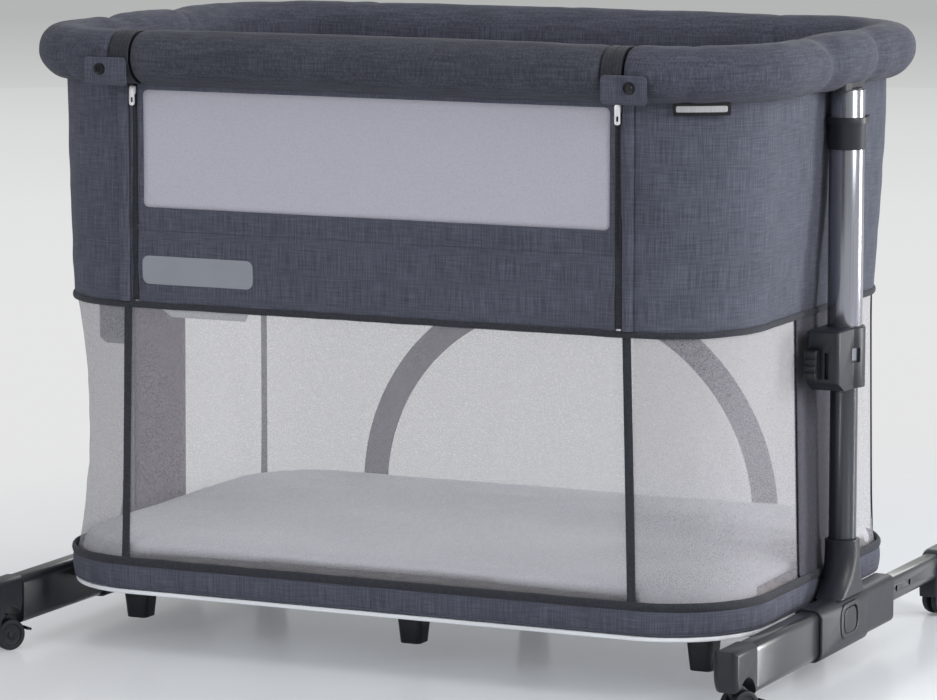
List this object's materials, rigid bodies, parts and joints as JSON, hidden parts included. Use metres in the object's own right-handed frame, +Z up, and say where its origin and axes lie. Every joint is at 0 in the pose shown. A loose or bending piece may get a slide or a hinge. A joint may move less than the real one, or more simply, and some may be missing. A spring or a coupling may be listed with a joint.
{
  "type": "bedside sleeper crib",
  "caption": "Free-standing baby crib with padded rail, mesh walls and a drop side, on telescoping legs with casters.",
  "frame": {"origin": "on the floor below the middle of the crib, midway between the two uprights", "axes": "+X along the crib, -Y towards the drop side, +Z up"},
  "size_m": [1.0646, 0.792, 0.8],
  "materials": {
    "charcoal_linen": "woven melange",
    "dark_binding": "matte tape",
    "side_mesh": "open mesh",
    "window_mesh": "fine mesh",
    "grey_lining": "matte",
    "mattress_fabric": "soft",
    "fibre_board": "raw",
    "pale_board": "satin",
    "frame_steel": "powder coat",
    "grey_metal": "metallic gloss",
    "grey_plastic": "semi gloss",
    "black_plastic": "satin",
    "wheel_rubber": "satin",
    "zip_metal": "cast"
  },
  "bodies": {
    "crib": {"rail_tube": "frame_steel", "rail_pad": "charcoal_linen", "rail_locks": "grey_plastic", "rail_brackets": "grey_plastic", "upper_fabric": "charcoal_linen", "inner_lining": "grey_lining", "mesh_walls": "side_mesh", "panel_hem": "dark_binding", "wall_strips": "dark_binding", "zip_tapes": "dark_binding", "end_bands": "dark_binding", "rear_door_arch": "dark_binding", "base_skirt": "charcoal_linen", "base_tube": "frame_steel", "base_crossbars": "frame_steel", "base_board": "pale_board", "mattress_boards": "fibre_board", "mattress": "mattress_fabric", "base_feet": "black_plastic", "upper_tubes": "grey_metal", "height_clamps": "grey_plastic", "belt_collars": "grey_plastic"},
    "drop_side": {"drop_rail_tube": "frame_steel", "drop_rail_pad": "charcoal_linen", "drop_rail_plugs": "grey_plastic", "drop_panel": "charcoal_linen", "window_mesh": "window_mesh", "snap_tabs": "charcoal_linen"},
    "rail_release_left": {"rail_release_left": "grey_plastic"},
    "zip_slider_left": {"zip_slider_left": "zip_metal"},
    "clamp_trigger_left": {"clamp_trigger_left": "grey_plastic"},
    "leg_left": {"lower_tube_left": "grey_metal", "tube_bush_left": "black_plastic", "tee_left": "grey_plastic", "front_beam_left": "grey_metal", "front_cap_left": "grey_plastic"},
    "foot_lock_left": {"foot_lock_left": "grey_plastic"},
    "rear_foot_left": {"rear_tube_left": "grey_metal", "rear_cap_left": "grey_plastic"},
    "caster_front_left": {"caster_fork_front_left": "black_plastic"},
    "wheels_front_left": {"caster_wheels_front_left": "wheel_rubber"},
    "caster_rear_left": {"caster_fork_rear_left": "black_plastic"},
    "wheels_rear_left": {"caster_wheels_rear_left": "wheel_rubber"},
    "brake_front_left": {"brake_lever_front_left": "black_plastic"},
    "rail_release_right": {"rail_release_right": "grey_plastic"},
    "zip_slider_right": {"zip_slider_right": "zip_metal"},
    "clamp_trigger_right": {"clamp_trigger_right": "grey_plastic"},
    "leg_right": {"lower_tube_right": "grey_metal", "tube_bush_right": "black_plastic", "tee_right": "grey_plastic", "front_beam_right": "grey_metal", "front_cap_right": "grey_plastic"},
    "foot_lock_right": {"foot_lock_right": "grey_plastic"},
    "rear_foot_right": {"rear_tube_right": "grey_metal", "rear_cap_right": "grey_plastic"},
    "caster_front_right": {"caster_fork_front_right": "black_plastic"},
    "wheels_front_right": {"caster_wheels_front_right": "wheel_rubber"},
    "caster_rear_right": {"caster_fork_rear_right": "black_plastic"},
    "wheels_rear_right": {"caster_wheels_rear_right": "wheel_rubber"},
    "brake_front_right": {"brake_lever_front_right": "black_plastic"}
  },
  "joints": [
    {"name": "drop_side_hinge", "type": "hinge", "parent": "crib", "child": "drop_side", "pos_m": [0, -0.3135, 0.55], "axis": [1, 0, 0], "range_deg": [0, 162]},
    {"name": "rail_release_left_press", "type": "slide", "parent": "crib", "child": "rail_release_left", "axis": [0, 0, 1], "range_m": [0, 0.003], "stiffness_N_per_m": 400, "springref_m": -0.001},
    {"name": "zip_slider_left_run", "type": "slide", "parent": "crib", "child": "zip_slider_left", "axis": [0, 0, -1], "range_m": [0, 0.15]},
    {"name": "clamp_trigger_left_pull", "type": "slide", "parent": "crib", "child": "clamp_trigger_left", "axis": [0, 1, 0], "range_m": [0, 0.006], "stiffness_N_per_m": 500, "springref_m": -0.001},
    {"name": "leg_left_height", "type": "slide", "parent": "crib", "child": "leg_left", "axis": [0, 0, -1], "range_m": [0, 0.15]},
    {"name": "foot_lock_left_press", "type": "slide", "parent": "leg_left", "child": "foot_lock_left", "axis": [1, 0, 0], "range_m": [0, 0.003], "stiffness_N_per_m": 400, "springref_m": -0.001},
    {"name": "rear_foot_left_reach", "type": "slide", "parent": "leg_left", "child": "rear_foot_left", "axis": [0, -1, 0], "range_m": [0, 0.15]},
    {"name": "caster_front_left_swivel", "type": "hinge", "parent": "leg_left", "child": "caster_front_left", "pos_m": [-0.505, -0.362, 0.06], "axis": [0, 0, 1], "continuous": true},
    {"name": "wheels_front_left_spin", "type": "hinge", "parent": "caster_front_left", "child": "wheels_front_left", "pos_m": [-0.5015, -0.35594, 0.02], "axis": [0.866, -0.5, 0], "continuous": true},
    {"name": "caster_rear_left_swivel", "type": "hinge", "parent": "rear_foot_left", "child": "caster_rear_left", "pos_m": [-0.505, 0.362, 0.06], "axis": [0, 0, 1], "continuous": true},
    {"name": "wheels_rear_left_spin", "type": "hinge", "parent": "caster_rear_left", "child": "wheels_rear_left", "pos_m": [-0.5015, 0.36806, 0.02], "axis": [0.866, -0.5, 0], "continuous": true},
    {"name": "brake_front_left_press", "type": "hinge", "parent": "caster_front_left", "child": "brake_front_left", "pos_m": [-0.496, -0.34641, 0.032], "axis": [-0.866, 0.5, 0], "range_deg": [0, 14]},
    {"name": "rail_release_right_press", "type": "slide", "parent": "crib", "child": "rail_release_right", "axis": [0, 0, 1], "range_m": [0, 0.003], "stiffness_N_per_m": 400, "springref_m": -0.001},
    {"name": "zip_slider_right_run", "type": "slide", "parent": "crib", "child": "zip_slider_right", "axis": [0, 0, -1], "range_m": [0, 0.15]},
    {"name": "clamp_trigger_right_pull", "type": "slide", "parent": "crib", "child": "clamp_trigger_right", "axis": [0, 1, 0], "range_m": [0, 0.006], "stiffness_N_per_m": 500, "springref_m": -0.001},
    {"name": "leg_right_height", "type": "slide", "parent": "crib", "child": "leg_right", "axis": [0, 0, -1], "range_m": [0, 0.15]},
    {"name": "foot_lock_right_press", "type": "slide", "parent": "leg_right", "child": "foot_lock_right", "axis": [-1, 0, 0], "range_m": [0, 0.003], "stiffness_N_per_m": 400, "springref_m": -0.001},
    {"name": "rear_foot_right_reach", "type": "slide", "parent": "leg_right", "child": "rear_foot_right", "axis": [0, -1, 0], "range_m": [0, 0.15]},
    {"name": "caster_front_right_swivel", "type": "hinge", "parent": "leg_right", "child": "caster_front_right", "pos_m": [0.505, -0.362, 0.06], "axis": [0, 0, 1], "continuous": true},
    {"name": "wheels_front_right_spin", "type": "hinge", "parent": "caster_front_right", "child": "wheels_front_right", "pos_m": [0.5085, -0.35594, 0.02], "axis": [0.866, -0.5, 0], "continuous": true},
    {"name": "caster_rear_right_swivel", "type": "hinge", "parent": "rear_foot_right", "child": "caster_rear_right", "pos_m": [0.505, 0.362, 0.06], "axis": [0, 0, 1], "continuous": true},
    {"name": "wheels_rear_right_spin", "type": "hinge", "parent": "caster_rear_right", "child": "wheels_rear_right", "pos_m": [0.5085, 0.36806, 0.02], "axis": [0.866, -0.5, 0], "continuous": true},
    {"name": "brake_front_right_press", "type": "hinge", "parent": "caster_front_right", "child": "brake_front_right", "pos_m": [0.514, -0.34641, 0.032], "axis": [-0.866, 0.5, 0], "range_deg": [0, 14]}
  ]
}
